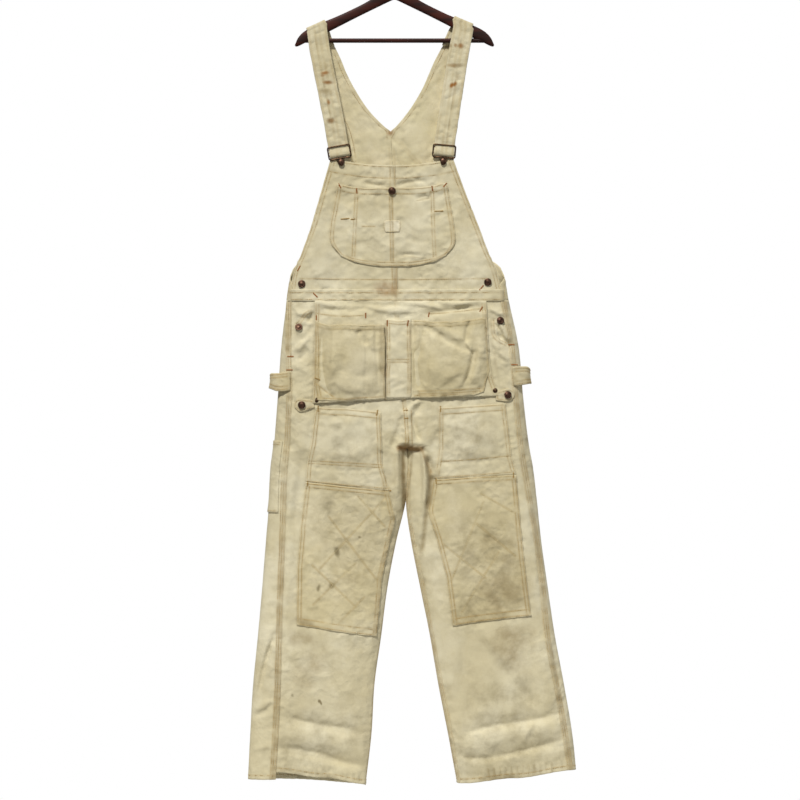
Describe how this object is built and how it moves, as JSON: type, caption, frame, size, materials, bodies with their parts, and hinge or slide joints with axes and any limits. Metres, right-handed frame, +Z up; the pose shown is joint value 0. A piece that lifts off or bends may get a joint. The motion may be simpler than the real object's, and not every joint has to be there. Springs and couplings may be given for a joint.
{
  "type": "stained work overalls on a wooden hanger",
  "caption": "Cream cotton duck bib overalls with nail apron, doubled knees and hammer loops, worn and stained, hanging by their straps from a dark wooden hanger.",
  "frame": {"origin": "inside top of the hanger's hook, at the middle of its wire's width, where it rests on a rail", "axes": "+Z up, +Y towards the garment's back, +X to the right as seen from the front"},
  "size_m": [0.6863, 0.0833, 1.7568],
  "materials": {
    "cotton_duck": "matt, washed heavy cream cotton",
    "soiled_duck": "matt, washed heavy cream cotton, more soiled",
    "cotton_tape": "blank woven tape",
    "browned_brass": "aged dark brown, worn",
    "bronzed_steel": "bronzed wire, worn",
    "dark_wood": "dark mahogany stain under satin varnish",
    "steel_wire": "bright plated wire"
  },
  "bodies": {
    "root": {"front_left": "cotton_duck", "front_right": "cotton_duck", "back_left": "cotton_duck", "back_right": "cotton_duck", "back_yoke_left": "cotton_duck", "back_yoke_right": "cotton_duck", "bib_left": "cotton_duck", "bib_right": "cotton_duck", "waistband": "soiled_duck", "bib_pocket": "cotton_duck", "label_blank": "cotton_tape", "thigh_pocket_left": "cotton_duck", "thigh_pocket_right": "cotton_duck", "knee_patch_left": "soiled_duck", "knee_patch_right": "soiled_duck", "rule_pocket": "cotton_duck", "apron": "cotton_duck", "apron_bag_left": "soiled_duck", "apron_bag_right": "soiled_duck", "apron_tool_slot": "cotton_duck", "apron_tab_left": "cotton_duck", "apron_tab_right": "cotton_duck", "bib_pocket_button": "browned_brass", "side_button_upper_left": "browned_brass", "side_button_upper_right": "browned_brass", "side_button_lower_left": "browned_brass", "side_button_lower_right": "browned_brass", "apron_button_left": "browned_brass", "apron_button_right": "browned_brass", "apron_rivet_left": "bronzed_steel", "apron_rivet_right": "bronzed_steel", "hanger_wood": "dark_wood", "hanger_bar": "dark_wood", "hanger_hook": "steel_wire", "strap_left": "cotton_duck", "strap_right": "cotton_duck", "buckle_left": "bronzed_steel", "buckle_right": "bronzed_steel", "bib_stud_left": "browned_brass", "bib_stud_right": "browned_brass", "hammer_loop_left": "cotton_duck", "hammer_loop_right": "cotton_duck"}
  },
  "joints": []
}
